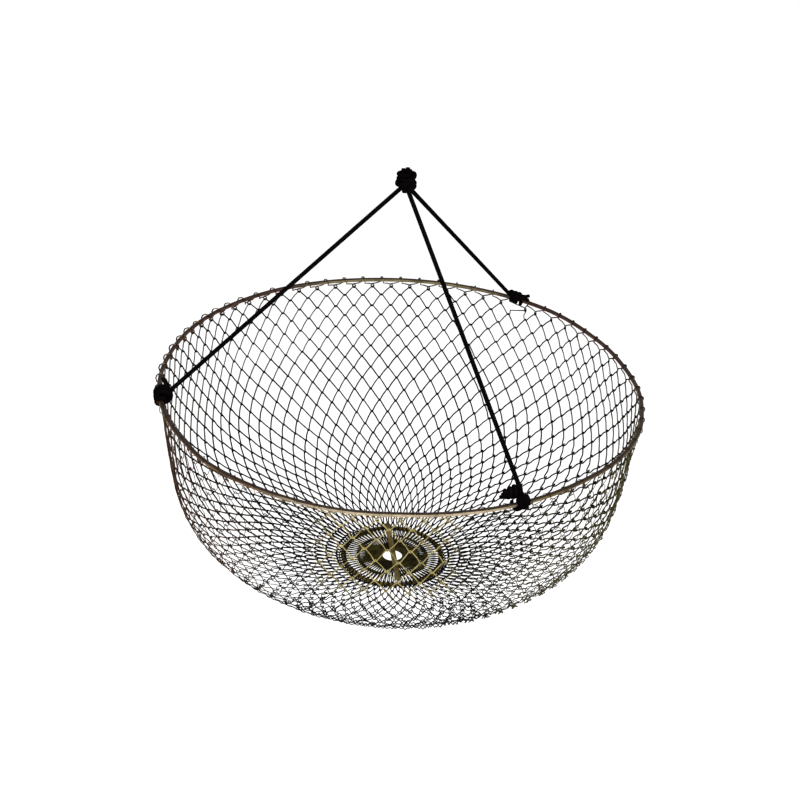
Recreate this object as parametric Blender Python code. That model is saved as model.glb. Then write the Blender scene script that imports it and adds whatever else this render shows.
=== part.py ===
"""A crab hoop net: a wire hoop, a basket of linked wire rows, and a rope bridle with three legs.

Metres, Z up. The origin is the middle of the apex knot, from which the whole net hangs.
"""

import math

import bmesh
import bpy
import numpy as np
from mathutils import Vector

# Driving sizes of the frame
HOOP_RADIUS = 0.2525
HOOP_WIRE = 0.0052
BRIDLE_HEIGHT = 0.2245
BASKET_DEPTH = 0.2212

# The bridle's rope and its knots
ROPE = 0.004
ROPE_POINT_STEP = 0.013
BUNDLE_GAP = 0.0004
APEX_LEAN = 0.0056
APEX_RISE = 0.0051
APEX_TURN_RISE = 0.0045
APEX_TURNS = 2.6
APEX_START = math.radians(90)
APEX_TAIL = 0.003
APEX_SLACK = 0.0005
LEG_STUB = 0.002
LEG_BEND = 0.0028
HITCH_LEAD = 0.015
HITCH_DRIFT = 0.0016
HITCH_TURN_RISE = 0.0065
HITCH_TURNS = 1.72
HITCH_TAIL = 0.013
HITCH_TAIL_ROOM = 0.005

# The basket's wire
NET_WIRE = 0.0012
HOOK_WIDTH = 0.0024
WRAP_WIDTH = 0.0020
WRAP_DROP = 0.0085

# Rings and bar in the middle of the base
BAIT_RING_RADIUS = 0.0555
BAIT_RING_WIRE = 0.005
CENTRE_RING_RADIUS = 0.012
CENTRE_RING_WIRE = 0.0024
BAR_WIDTH = 0.006
BAR_THICKNESS = 0.0015
BAR_END_REACH = 0.0005

# Running clearance between touching pieces, and the least gap of a tube to itself
GAP = 0.0003
LEAST_SELF_GAP = 0.0004

# Counts and angles
NET_ROWS = 12
NET_COLUMNS = 36
CENTRE_COLUMNS = 12
NET_TURN = math.radians(8)
BASE_TURN = NET_TURN + math.radians(90)
HITCHES = (("left", 193.8), ("back", 59.8), ("front", 298.5))

# The hitch's tail: how far on along the hoop, and how far off it, as shares of its length
HITCH_TAIL_SHARES = ((0.25, 0.22), (0.62, 0.60), (1.0, 0.90))

# The basket's outline below the hoop, as shares of the hoop's radius and of the basket's depth
BASKET_SHARES = ((0.985, 0.136), (0.965, 0.362), (0.915, 0.588), (0.790, 0.765), (0.580, 0.885))

WIRE_SIDES = 3
WRAP_STEPS = 4
OUTLINE_SAMPLES = 400

COLOURS = {
    "hoop_wire": ((0.20, 0.13, 0.07, 1), 0.45, 0.8),
    "net_wire": ((0.05, 0.05, 0.045, 1), 0.40, 0.9),
    "base_wire": ((0.10, 0.09, 0.04, 1), 0.50, 0.7),
    "rope": ((0.012, 0.012, 0.013, 1), 0.85, 0.0),
}


def clear_scene():
    for thing in list(bpy.data.objects):
        bpy.data.objects.remove(thing, do_unlink=True)


def material(name):
    """The piece's own finish."""
    found = bpy.data.materials.get(name)
    if found:
        return found
    colour, roughness, metallic = COLOURS[name]
    made = bpy.data.materials.new(name)
    made.use_nodes = True
    shader = made.node_tree.nodes["Principled BSDF"]
    shader.inputs["Base Color"].default_value = colour
    shader.inputs["Roughness"].default_value = roughness
    shader.inputs["Metallic"].default_value = metallic
    made.diffuse_color = colour
    return made


def add_object(name, data, finish, parent=None):
    thing = bpy.data.objects.new(name, data)
    data.materials.append(material(finish))
    bpy.context.collection.objects.link(thing)
    if parent:
        place_under(thing, parent)
    return thing


def place_under(thing, parent):
    """Parent a piece whose data is in world places, so that it stays where it is."""
    thing.parent = parent
    thing.matrix_parent_inverse = parent.matrix_world.inverted()


def add_axis(name, place, parent=None):
    """An empty that stands on a joint's axis and carries the pieces that move with it."""
    axis = bpy.data.objects.new(name, None)
    axis.empty_display_size = NET_WIRE
    axis.location = place
    bpy.context.collection.objects.link(axis)
    bpy.context.view_layer.update()
    if parent:
        place_under(axis, parent)
        bpy.context.view_layer.update()
    return axis


def around(radius, angle, height):
    return np.array((radius * math.cos(angle), radius * math.sin(angle), height))


def unit(vector):
    return vector / np.linalg.norm(vector)


def section_reach(wire, sides):
    """How far a many-sided section reaches, when its area is that of the round wire."""
    return wire / 2 * math.sqrt(2 * math.pi / (sides * math.sin(2 * math.pi / sides)))


def tube_mesh(name, points, reach, sides):
    """A closed loop of wire through points, with mitred corners and no twist at its seam."""
    points = np.asarray(points)
    count = len(points)
    ahead = [unit(points[(i + 1) % count] - points[i]) for i in range(count)]
    along = [unit(ahead[i] + ahead[i - 1]) for i in range(count)]
    first = Vector(along[0]).orthogonal().normalized()
    sideways = [first]
    for i in range(count):
        turn = Vector(along[i]).rotation_difference(Vector(along[(i + 1) % count]))
        sideways.append(turn @ sideways[-1])
    start = np.array(along[0])
    end = np.array(sideways[-1])
    twist = math.atan2(np.dot(np.cross(first, end), start), np.dot(first, end))
    corners = []
    for i in range(count):
        side = np.array(sideways[i])
        other = np.cross(along[i], side)
        bend = ahead[i] - ahead[i - 1]
        bend_length = np.linalg.norm(bend)
        stretch = 1 / np.dot(ahead[i], along[i]) - 1
        for corner in range(sides):
            angle = 2 * math.pi * corner / sides - twist * i / count
            offset = reach * (math.cos(angle) * side + math.sin(angle) * other)
            if bend_length > 0:
                towards = bend / bend_length
                offset = offset + towards * np.dot(offset, towards) * stretch
            corners.append(points[i] + offset)
    faces = []
    for i in range(count):
        here = i * sides
        there = (i + 1) % count * sides
        for corner in range(sides):
            after = (corner + 1) % sides
            faces.append((here + corner, here + after, there + after, there + corner))
    mesh = bpy.data.meshes.new(name)
    mesh.from_pydata([tuple(corner) for corner in corners], [], faces)
    mesh.update()
    return face_outwards(mesh)


def face_outwards(mesh):
    work = bmesh.new()
    work.from_mesh(mesh)
    bmesh.ops.recalc_face_normals(work, faces=work.faces)
    work.to_mesh(mesh)
    work.free()
    return mesh


def ring_points(radius, height, count):
    return [around(radius, 2 * math.pi * i / count, height) for i in range(count)]


def add_ring(name, radius, height, wire, count, sides, finish, parent=None):
    points = ring_points(radius, height, count)
    mesh = tube_mesh(name, points, wire / 2, sides)
    mesh.shade_smooth()
    return add_object(name, mesh, finish, parent)


def smooth_curve(keys, steps):
    """Points on a smooth curve through the keys, each stretch cut into the given steps."""
    keys = [np.asarray(key) for key in keys]
    before = 2 * keys[0] - keys[1]
    after = 2 * keys[-1] - keys[-2]
    spread = [before] + keys + [after]
    points = []
    for i in range(1, len(spread) - 2):
        a, b, c, d = spread[i - 1 : i + 3]
        for step in range(steps):
            t = step / steps
            bend = 2 * a - 5 * b + 4 * c - d
            turn = 3 * b - a - 3 * c + d
            points.append(b + 0.5 * t * (c - a + t * (bend + t * turn)))
    points.append(keys[-1])
    return points


def add_rope(name, points, resolution, parent=None):
    """A rope as a curve with a round section and filled ends."""
    curve = bpy.data.curves.new(name, "CURVE")
    curve.dimensions = "3D"
    curve.bevel_depth = ROPE / 2
    curve.bevel_resolution = resolution
    curve.use_fill_caps = True
    spline = curve.splines.new("POLY")
    spline.points.add(len(points) - 1)
    for point, place in zip(spline.points, points):
        point.co = (*place, 1)
    return add_object(name, curve, "rope", parent)


def least_self_gap(points, wire):
    """The least clear space between stretches of one tube that lie more than two wires apart."""
    points = np.asarray(points)
    run = np.concatenate([[0], np.cumsum(np.linalg.norm(np.diff(points, axis=0), axis=1))])
    apart = np.abs(run[:, None] - run[None, :]) > 2 * wire
    distance = np.linalg.norm(points[:, None] - points[None, :], axis=2)
    return float(distance[apart].min() - wire)


def report_self_gap(name, points):
    clear = least_self_gap(points, ROPE)
    print(f"{name}: least gap to itself {clear * 1000:.2f} mm, at least {LEAST_SELF_GAP * 1000:.1f} wanted")


class Basket:
    """The surface that the net's wires lie on, turned about the vertical axis."""

    def __init__(self):
        keys = [(HOOP_RADIUS, 0.0)]
        keys += [(a * HOOP_RADIUS, -b * BASKET_DEPTH) for a, b in BASKET_SHARES]
        keys += [(BAIT_RING_RADIUS, -BASKET_DEPTH)]
        outline = np.array(smooth_curve(keys, OUTLINE_SAMPLES // len(keys)))
        steps = np.linalg.norm(np.diff(outline, axis=0), axis=1)
        self.run = np.concatenate([[0], np.cumsum(steps)])
        self.radius = outline[:, 0]
        self.height = outline[:, 1] - BRIDLE_HEIGHT
        self.levels = self.row_levels()

    def row_levels(self):
        """How far down the outline each line of hooks lies, for links of one length."""
        low, high = math.pi * HOOP_RADIUS / NET_COLUMNS, self.run[-1]
        for _ in range(OUTLINE_SAMPLES // WIRE_SIDES):
            link = (low + high) / 2
            levels = self.levels_for(link)
            if levels[-1] < self.run[-1]:
                low = link
            else:
                high = link
        levels[-1] = self.run[-1]
        self.link = link
        return levels

    def levels_for(self, link):
        levels = [0.0]
        for _ in range(NET_ROWS):
            half_pitch = math.pi * np.interp(levels[-1], self.run, self.radius) / NET_COLUMNS
            levels.append(levels[-1] + math.sqrt(max(link**2 - half_pitch**2, 0)))
        return levels

    def place(self, level, angle, lift):
        """A point at a level down the outline, lifted off it along its outward normal."""
        radius = np.interp(level, self.run, self.radius)
        height = np.interp(level, self.run, self.height)
        near = NET_WIRE
        radii = np.interp((level - near, level + near), self.run, self.radius)
        heights = np.interp((level - near, level + near), self.run, self.height)
        slope = unit(np.array((radii[1] - radii[0], heights[1] - heights[0])))
        return around(radius - lift * slope[1], angle, height + lift * slope[0])

    def radius_at(self, level):
        return float(np.interp(level, self.run, self.radius))

    def height_at(self, level):
        return float(np.interp(level, self.run, self.height))


BASE_HEIGHT = -BRIDLE_HEIGHT - BASKET_DEPTH
NET_REACH = section_reach(NET_WIRE, WIRE_SIDES)
HOOK_LIFT = NET_REACH + GAP / 2
WRAP_ROOM = 1 / math.cos(math.pi / WRAP_STEPS / 2)


def wrap_radius(wire):
    return (wire / 2 + GAP + NET_REACH) * WRAP_ROOM


def wrap_top(wire):
    """How high a wrapped wire stands over the centre line of the ring that it goes round."""
    return wrap_radius(wire) + NET_REACH * WRAP_ROOM


def wrap_points(ring_radius, ring_height, wire, angle, start, end):
    """Half a turn of wire round a ring, moving on by the wrap's width."""
    points = []
    for step in range(WRAP_STEPS + 1):
        share = step / WRAP_STEPS
        turn = start + (end - start) * share
        radius = ring_radius + wrap_radius(wire) * math.cos(turn)
        height = ring_height + wrap_radius(wire) * math.sin(turn)
        sideways = (share - 0.5) * WRAP_WIDTH / ring_radius
        points.append(around(radius, angle + sideways, height))
    return points


def clear_of_hitches(angle):
    """A wrap's place on the hoop, pushed aside by a hitch that would cover it."""
    half_wrap = WRAP_WIDTH / 2 + NET_REACH + GAP
    after = HITCH_DRIFT + ROPE / 2 + half_wrap
    before = HITCH_TURNS * HITCH_TURN_RISE + ROPE / 2 + half_wrap + HITCH_TAIL_ROOM
    for _, degrees in HITCHES:
        high = math.radians(degrees) + after / HOOP_RADIUS
        low = math.radians(degrees) - before / HOOP_RADIUS
        turns = round((angle - (low + high) / 2) / (2 * math.pi))
        place = angle - turns * 2 * math.pi
        if low < place < high:
            return low if place - low < high - place else high
    return angle


def hoop_wrap_points(angle):
    """A wrap over the hoop, whose two ends run straight down past it."""
    points = wrap_points(HOOP_RADIUS, -BRIDLE_HEIGHT, HOOP_WIRE, angle, math.pi, 0)
    drop = np.array((0, 0, WRAP_DROP))
    return [points[0] - drop] + points + [points[-1] - drop]


def hook_points(basket, level, angle, up):
    """The two corners of a row's hook: a peak when up is 1, a valley when up is -1."""
    half = HOOK_WIDTH / 2 / basket.radius_at(level)
    row = level - up * HOOK_LIFT
    return [
        basket.place(row, angle - half, -up * HOOK_LIFT),
        basket.place(row, angle + half, up * HOOK_LIFT),
    ]


def row_points(basket, row):
    """One zigzag row: its peaks hook the row above and its valleys the row below."""
    pitch = 2 * math.pi / NET_COLUMNS
    points = []
    for column in range(NET_COLUMNS):
        peak = NET_TURN + (column + (row - 1) / 2) * pitch
        valley = peak + pitch / 2
        if row == 1:
            points += hoop_wrap_points(clear_of_hitches(peak))
        else:
            points += hook_points(basket, basket.levels[row - 1], peak, 1)
        if row == NET_ROWS:
            turn = (math.pi * 3 / 2, math.pi / 2)
            points += wrap_points(BAIT_RING_RADIUS, BASE_HEIGHT, BAIT_RING_WIRE, valley, *turn)
        else:
            points += hook_points(basket, basket.levels[row], valley, -1)
    return points


def centre_row_points():
    """The short row between the bait ring and the centre ring."""
    pitch = 2 * math.pi / CENTRE_COLUMNS
    points = []
    for column in range(CENTRE_COLUMNS):
        peak = BASE_TURN + (column + 0.5) * pitch
        outer = (math.pi / 2, -math.pi / 2)
        inner = (math.pi * 3 / 2, math.pi / 2)
        points += wrap_points(BAIT_RING_RADIUS, BASE_HEIGHT, BAIT_RING_WIRE, peak, *outer)
        valley = peak + pitch / 2
        points += wrap_points(CENTRE_RING_RADIUS, BASE_HEIGHT, CENTRE_RING_WIRE, valley, *inner)
    return points


def add_net(basket, root):
    """The basket's rows, from the hoop down to the bait ring, each on its own sliding axis."""
    for row in range(1, NET_ROWS + 1):
        top = basket.height_at(basket.levels[row - 1])
        axis = root if row == 1 else add_axis(f"axis_row_{row:02d}", (0, 0, top), root)
        name = f"net_row_{row:02d}"
        mesh = tube_mesh(name, row_points(basket, row), NET_REACH, WIRE_SIDES)
        add_object(name, mesh, "net_wire", axis)
    print(f"net link {basket.link * 1000:.2f} mm, hook levels (mm below the hoop):")
    depths = [-(basket.height_at(level) + BRIDLE_HEIGHT) for level in basket.levels]
    print(", ".join(f"{depth * 1000:.2f}" for depth in depths))


def bundle_radius():
    """How far from the axis the three legs stand where the apex knot binds them."""
    angles = sorted(math.radians(degrees) for _, degrees in HITCHES)
    spaces = [b - a for a, b in zip(angles, angles[1:])]
    spaces.append(2 * math.pi - angles[-1] + angles[0])
    return (ROPE + BUNDLE_GAP) / 2 / math.sin(min(spaces) / 2)


def apex_place(radius, angle, height):
    """A place counted from the middle of the apex knot."""
    return around(radius, angle, height) + np.array((-APEX_LEAN, 0, APEX_RISE))


def add_apex_knot(root):
    """A rope's end wound round the three legs, with its tail standing out at the top."""
    radius = bundle_radius() + ROPE / 2 + GAP + APEX_SLACK + ROPE / 2
    start_angle = APEX_START
    per_turn = 12
    keys = []
    for i in range(round(APEX_TURNS * per_turn) + 1):
        angle = start_angle + 2 * math.pi * i / per_turn
        height = (i / per_turn - APEX_TURNS / 2) * APEX_TURN_RISE
        keys.append(apex_place(radius, angle, height))
    lead = unit(keys[0] - keys[1])
    tail = unit(keys[-1] - keys[-2] + np.array((0, 0, ROPE / 2)))
    points = [keys[0] + lead * ROPE] + keys
    points += [keys[-1] + tail * APEX_TAIL, keys[-1] + tail * 2 * APEX_TAIL]
    report_self_gap("apex_knot", points)
    return add_rope("apex_knot", points, 1, root)


def hitch_frame(angle):
    outward = around(1, angle, 0)
    onward = around(1, angle + math.pi / 2, 0)
    return outward, onward, np.array((0, 0, 1))


def leg_top_bend(angle):
    """Where a leg would turn from the bundle towards its hitch, if it turned sharply."""
    lowest_turn = -APEX_TURNS * APEX_TURN_RISE / 2
    return apex_place(bundle_radius(), angle, lowest_turn - LEG_BEND)


def hitch_route(angle):
    """Where the leg ends, its direction there, and where it first touches the winding's circle."""
    outward, _, _ = hitch_frame(angle)
    centre = around(HOOP_RADIUS, angle + HITCH_DRIFT / HOOP_RADIUS, -BRIDLE_HEIGHT)
    down = unit(centre - leg_top_bend(angle))
    slope = math.atan2(down[2], float(np.dot(down, outward)))
    touch_turn = slope + math.pi / 2
    return centre - down * HITCH_LEAD, down, touch_turn


def hitch_place(angle, turn, onward, lift=0):
    """A point on the winding's centre line, moved on along the hoop and lifted off it."""
    radius = HOOP_WIRE / 2 + GAP + ROPE / 2 + lift
    place = angle - onward / HOOP_RADIUS
    return around(
        HOOP_RADIUS + radius * math.cos(turn), place, -BRIDLE_HEIGHT + radius * math.sin(turn)
    )


def add_leg(side, angle, root):
    """One bridle leg, from the apex knot's top down to its hitch on the hoop."""
    end, _, _ = hitch_route(angle)
    knot_half = (APEX_TURNS * APEX_TURN_RISE + ROPE) / 2
    stub_top = apex_place(bundle_radius(), angle, knot_half + LEG_STUB)
    bend = leg_top_bend(angle)
    below_knot = bend + np.array((0, 0, LEG_BEND))
    slant = unit(end - bend)
    after = bend + slant * LEG_BEND
    points = spaced(stub_top, below_knot)
    for share in (0.25, 0.5, 0.75):
        first = below_knot + (bend - below_knot) * share
        second = bend + (after - bend) * share
        points.append(first + (second - first) * share)
    points += spaced(after, end)
    length = sum(np.linalg.norm(b - a) for a, b in zip(points, points[1:]))
    print(f"bridle_leg_{side}: {length * 1000:.0f} mm long")
    return add_rope(f"bridle_leg_{side}", points, 2, root)


def spaced(start, end):
    count = max(1, round(np.linalg.norm(end - start) / ROPE_POINT_STEP))
    return [start + (end - start) * i / count for i in range(count + 1)]


def add_hitch(side, angle, root):
    """The leg's end wound round the hoop, with a short stiff tail."""
    end, down, touch = hitch_route(angle)
    per_turn = 8
    first = end + down * GAP
    keys = [first + down * ROPE]
    steps = round(HITCH_TURNS * per_turn)
    for i in range(steps + 1):
        share = i / steps
        turn = touch - 2 * math.pi * HITCH_TURNS * share
        keys.append(hitch_place(angle, turn, share * HITCH_TURNS * HITCH_TURN_RISE))
    for along, off in HITCH_TAIL_SHARES:
        onward = HITCH_TURNS * HITCH_TURN_RISE + along * HITCH_TAIL
        lean = turn - math.radians(35) * math.sqrt(along)
        keys.append(hitch_place(angle, lean, onward, off * HITCH_TAIL))
    points = [first] + smooth_curve(keys, 2)
    report_self_gap(f"hitch_{side}", points)
    return add_rope(f"hitch_{side}", points, 1, root)


def add_bar(base):
    """The flat bar across the bait ring, lying on the wires that are wrapped round it."""
    length = 2 * (BAIT_RING_RADIUS + BAR_END_REACH)
    bottom = BASE_HEIGHT + wrap_top(BAIT_RING_WIRE) + GAP
    work = bmesh.new()
    bmesh.ops.create_cube(work, size=1)
    for corner in work.verts:
        corner.co.x *= length
        corner.co.y *= BAR_WIDTH
        corner.co.z *= BAR_THICKNESS
    edges = [edge for edge in work.edges if abs(edge.verts[0].co.z - edge.verts[1].co.z) > 0]
    corner_round = BAR_WIDTH / 3
    bmesh.ops.bevel(work, geom=edges, offset=corner_round, segments=3, affect="EDGES", profile=0.5)
    mesh = bpy.data.meshes.new("bait_bar")
    work.to_mesh(mesh)
    work.free()
    bar = add_object("bait_bar", mesh, "base_wire")
    bar.location = (0, 0, bottom + BAR_THICKNESS / 2)
    bar.rotation_euler.z = BASE_TURN
    bpy.context.view_layer.update()
    place_under(bar, base)
    return bar


def add_base(root):
    """The middle of the base: bait ring, centre ring, the short row between them and the bar."""
    base = add_axis("axis_base", (0, 0, BASE_HEIGHT), root)
    add_ring("bait_ring", BAIT_RING_RADIUS, BASE_HEIGHT, BAIT_RING_WIRE, 48, 8, "base_wire", base)
    add_ring(
        "centre_ring", CENTRE_RING_RADIUS, BASE_HEIGHT, CENTRE_RING_WIRE, 24, 6, "base_wire", base
    )
    mesh = tube_mesh("centre_row", centre_row_points(), NET_REACH, WIRE_SIDES)
    add_object("centre_row", mesh, "net_wire", base)
    add_bar(base)
    return base


def main():
    clear_scene()
    root = add_axis("axis_root", (0, 0, 0))
    add_ring("hoop", HOOP_RADIUS, -BRIDLE_HEIGHT, HOOP_WIRE, 72, 8, "hoop_wire", root)
    add_apex_knot(root)
    for side, degrees in HITCHES:
        add_leg(side, math.radians(degrees), root)
        add_hitch(side, math.radians(degrees), root)
    basket = Basket()
    add_net(basket, root)
    add_base(root)


main()
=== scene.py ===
# %% [markdown]
# # A crab hoop net
# A round steel hoop carries a basket of hooked wire, and three ropes meet in one knot above it. In the
# middle of the basket's bottom is a thick wire ring with a flat bar across it, to which the bait is tied.
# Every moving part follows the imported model, which is loaded first.

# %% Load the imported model
import math
import bpy
import numpy as np
from mathutils import Matrix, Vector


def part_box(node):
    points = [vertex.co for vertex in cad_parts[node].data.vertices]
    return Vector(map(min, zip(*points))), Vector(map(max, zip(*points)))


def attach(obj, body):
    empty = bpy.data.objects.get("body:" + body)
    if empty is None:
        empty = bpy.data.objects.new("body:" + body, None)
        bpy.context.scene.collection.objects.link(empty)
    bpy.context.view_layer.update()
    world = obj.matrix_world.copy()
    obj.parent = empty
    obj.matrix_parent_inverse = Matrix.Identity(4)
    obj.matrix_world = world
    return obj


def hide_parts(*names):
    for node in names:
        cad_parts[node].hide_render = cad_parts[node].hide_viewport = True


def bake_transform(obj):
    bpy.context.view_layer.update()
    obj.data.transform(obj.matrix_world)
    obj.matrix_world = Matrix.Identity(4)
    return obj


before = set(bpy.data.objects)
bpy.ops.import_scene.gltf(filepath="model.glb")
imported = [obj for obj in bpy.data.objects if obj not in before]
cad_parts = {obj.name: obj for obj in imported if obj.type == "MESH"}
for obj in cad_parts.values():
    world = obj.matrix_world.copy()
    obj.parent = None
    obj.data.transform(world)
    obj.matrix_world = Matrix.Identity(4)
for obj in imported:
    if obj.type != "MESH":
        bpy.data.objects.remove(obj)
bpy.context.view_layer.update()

# %% [markdown]
# ## Sizes
# They are in metres, and the origin is on the hoop's axis, at the knot's height. They repeat the part's own named
# sizes, but for the wires of the hoop, the thick ring and the net. Those are drawn so that they look as thick and
# as dark as the real ones do; the solids have 5.2, 5.0 and 1.2 mm.

# %% Sizes of the real net
HOOP_RADIUS = 0.2525
HOOP_WIRE = 0.0046
HOOP_HEIGHT = -0.2245
BASKET_DEPTH = 0.2212
BASE_HEIGHT = HOOP_HEIGHT - BASKET_DEPTH
RING_RADIUS = 0.0555
RING_WIRE = 0.0043
CENTRE_RADIUS = 0.012
CENTRE_WIRE = 0.0024
ROPE = 0.004
NET_WIRE = 0.0016
BAR_TURN = math.radians(98)
HITCHES = {"left": 193.8, "back": 59.8, "front": 298.5}


def around(radius, angle, height):
    """A point at this distance from the hoop's axis, this way round it."""
    return np.array((radius * math.cos(angle), radius * math.sin(angle), height))


def unit(vector):
    """The same direction, one metre long."""
    return np.asarray(vector, float) / np.linalg.norm(vector)


def add_object(name, data):
    """A new object in the scene, from its mesh, curve, camera or lamp."""
    made = bpy.data.objects.new(name, data)
    bpy.context.scene.collection.objects.link(made)
    return made


def facing(place, right, up, ahead):
    """The matrix of a camera or a lamp that stands at this place and looks ahead."""
    turn = np.eye(4)
    turn[:3, 0], turn[:3, 1], turn[:3, 2], turn[:3, 3] = right, up, -ahead, place
    return Matrix(turn)


# %% [markdown]
# ## Camera
# The photograph was matched by fitting a camera to the hoop's outline, the three knots and the bait ring.
# It stands 1.74 m from the hoop's centre and looks about 29 degrees down, with a slight roll.

# %% Camera
FOCAL_PIXELS = 1650
PHOTO_PIXELS = 800
SENSOR = 36


def turned(vector, axis, angle):
    """The vector turned round the axis."""
    along = axis * (axis @ vector)
    return vector * math.cos(angle) + np.cross(axis, vector) * math.sin(angle) + along * (1 - math.cos(angle))


def make_camera(distance=1.7387, elevation=0.5017025, roll=-0.0511367, pan=0.0001855, tilt=-0.0106905):
    """The camera, from its distance in metres to the hoop's centre and its angles in radians."""
    place = distance * np.array((0, -math.cos(elevation), math.sin(elevation)))
    ahead, right = -unit(place), np.array((1.0, 0, 0))
    up = np.cross(right, ahead)
    ahead, right = turned(ahead, up, pan), turned(right, up, pan)
    ahead, up = turned(ahead, right, tilt), turned(up, right, tilt)
    right, up = turned(right, ahead, roll), turned(up, ahead, roll)
    data = bpy.data.cameras.new("camera")
    data.sensor_width = SENSOR
    data.lens = FOCAL_PIXELS / PHOTO_PIXELS * SENSOR
    camera = add_object("camera", data)
    camera.matrix_world = facing(place + (0, 0, HOOP_HEIGHT), right, up, ahead)
    bpy.context.scene.camera = camera
    return camera


camera = make_camera()
print("camera at", [round(v, 3) for v in camera.matrix_world.translation])

# %% [markdown]
# ## Formulas in a node tree
# Geometry Nodes make everything here that follows a path or repeats: rope, rings, hooks. A small class lets
# the script write the nodes' sums the way they would be written on paper.

# %% Node helpers
def feed(tree, socket, value):
    """Puts a number, a field or another node's output into a socket."""
    value = getattr(value, "socket", value)
    if isinstance(value, bpy.types.NodeSocket):
        tree.links.new(value, socket)
    else:
        socket.default_value = value


class Field:
    """A number in a node tree, so that sums of fields are written as plain sums."""

    def __init__(self, tree, socket):
        self.tree, self.socket = tree, socket

    def maths(self, operation, *others, swap=False):
        node = self.tree.nodes.new("ShaderNodeMath")
        node.operation = operation
        values = [*others, self] if swap else [self, *others]
        for socket, value in zip(node.inputs, values):
            feed(self.tree, socket, value)
        return Field(self.tree, node.outputs[0])

    def __add__(self, other):
        return self.maths("ADD", other)

    __radd__ = __add__

    def __sub__(self, other):
        return self.maths("SUBTRACT", other)

    def __rsub__(self, other):
        return self.maths("SUBTRACT", other, swap=True)

    def __mul__(self, other):
        return self.maths("MULTIPLY", other)

    __rmul__ = __mul__

    def __truediv__(self, other):
        return self.maths("DIVIDE", other)

    def ramp(self, low, high):
        """From 0 at low to 1 at high, easing in and out."""
        node = self.tree.nodes.new("ShaderNodeMapRange")
        node.interpolation_type = "SMOOTHSTEP"
        for index, value in enumerate((self, low, high)):
            feed(self.tree, node.inputs[index], value)
        return Field(self.tree, node.outputs[0])


def node_in(tree, kind, feeds=(), **settings):
    """A new node with its settings made and its named sockets fed."""
    node = tree.nodes.new(kind)
    for setting, value in settings.items():
        setattr(node, setting, value)
    for name, value in dict(feeds).items():
        found = [s for s in node.inputs if s.name == name and s.enabled]
        feed(tree, found[0], value)
    return node


def output(tree, node, name):
    """A node's output as a field, by its name."""
    return Field(tree, next(s for s in node.outputs if s.name == name and s.enabled))


def vector(tree, x, y, z):
    """Three fields joined to a vector."""
    return output(tree, node_in(tree, "ShaderNodeCombineXYZ", {"X": x, "Y": y, "Z": z}), "Vector")


def parts_of(tree, value):
    """The three numbers of a vector as fields."""
    node = node_in(tree, "ShaderNodeSeparateXYZ", {"Vector": value})
    return [output(tree, node, axis) for axis in "XYZ"]


def own(tree, name):
    """Each point's own Position, Index or Normal."""
    return output(tree, node_in(tree, "GeometryNodeInput" + name), name)


def keep(tree, geometry, name, value):
    """The geometry with a value stored at its points, for a later node or the finish."""
    return node_in(tree, "GeometryNodeStoreNamedAttribute", {"Geometry": geometry, "Name": name, "Value": value},
                   data_type="FLOAT", domain="POINT").outputs[0]


def kept(tree, name):
    """A value that was stored at the points."""
    return output(tree, node_in(tree, "GeometryNodeInputNamedAttribute", {"Name": name}, data_type="FLOAT"),
                  "Attribute")


def swept(tree, curve, sides, wire, scale):
    """A round wire along a curve, thicker or thinner by a scale that may change on the way."""
    circle = node_in(tree, "GeometryNodeCurvePrimitiveCircle", {"Resolution": sides, "Radius": wire / 2})
    return node_in(tree, "GeometryNodeCurveToMesh", {"Curve": curve, "Profile Curve": circle.outputs[0],
                                                     "Scale": scale, "Fill Caps": False}).outputs[0]


def new_tree(name, **inputs):
    """An empty tree with a geometry input and output, and its named inputs as fields."""
    tree = bpy.data.node_groups.new(name, "GeometryNodeTree")
    tree.interface.new_socket("Geometry", in_out="INPUT", socket_type="NodeSocketGeometry")
    tree.interface.new_socket("Geometry", in_out="OUTPUT", socket_type="NodeSocketGeometry")
    for label, kind in inputs.items():
        tree.interface.new_socket(label, in_out="INPUT", socket_type="NodeSocket" + kind)
    entry = tree.nodes.new("NodeGroupInput")
    return tree, {s.name: Field(tree, s) for s in entry.outputs if s.name}


def end_tree(tree, geometry, finish):
    """Closes a tree: the instances made real, the finish set, and the result sent out."""
    real = node_in(tree, "GeometryNodeRealizeInstances", {"Geometry": geometry})
    finished = node_in(tree, "GeometryNodeSetMaterial", {"Geometry": real.outputs[0], "Material": finish})
    tree.links.new(finished.outputs[0], tree.nodes.new("NodeGroupOutput").inputs[0])


def run_tree(name, tree, source, **inputs):
    """Runs a tree on a mesh or curve once and returns its result as a plain mesh."""
    maker = add_object(name + "_maker", source)
    modifier = maker.modifiers.new("maker", "NODES")
    modifier.node_group = tree
    known = {s.name: s.identifier for s in tree.interface.items_tree if s.in_out == "INPUT"}
    for label, value in inputs.items():
        modifier[known[label]] = value
    graph = bpy.context.evaluated_depsgraph_get()
    mesh = bpy.data.meshes.new_from_object(maker.evaluated_get(graph))
    bpy.data.objects.remove(maker)
    return mesh


def as_piece(name, meshes):
    """One object from one or more meshes with the same finish, smooth all over."""
    corners = np.concatenate([mesh_points(mesh) for mesh in meshes])
    faces, start = [], 0
    for mesh in meshes:
        faces += [[v + start for v in face.vertices] for face in mesh.polygons]
        start += len(mesh.vertices)
    whole = bpy.data.meshes.new(name)
    whole.from_pydata(corners.tolist(), [], faces)
    whole.materials.append(meshes[0].materials[0])
    whole.polygons.foreach_set("use_smooth", [True] * len(faces))
    carry_attributes(meshes, whole)
    print(f"{name}: {len(faces)} faces")
    return add_object(name, whole)


def mesh_points(mesh):
    """A mesh's corners, one in each row."""
    corners = np.zeros(len(mesh.vertices) * 3)
    mesh.vertices.foreach_get("co", corners)
    return corners.reshape(-1, 3)


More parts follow.
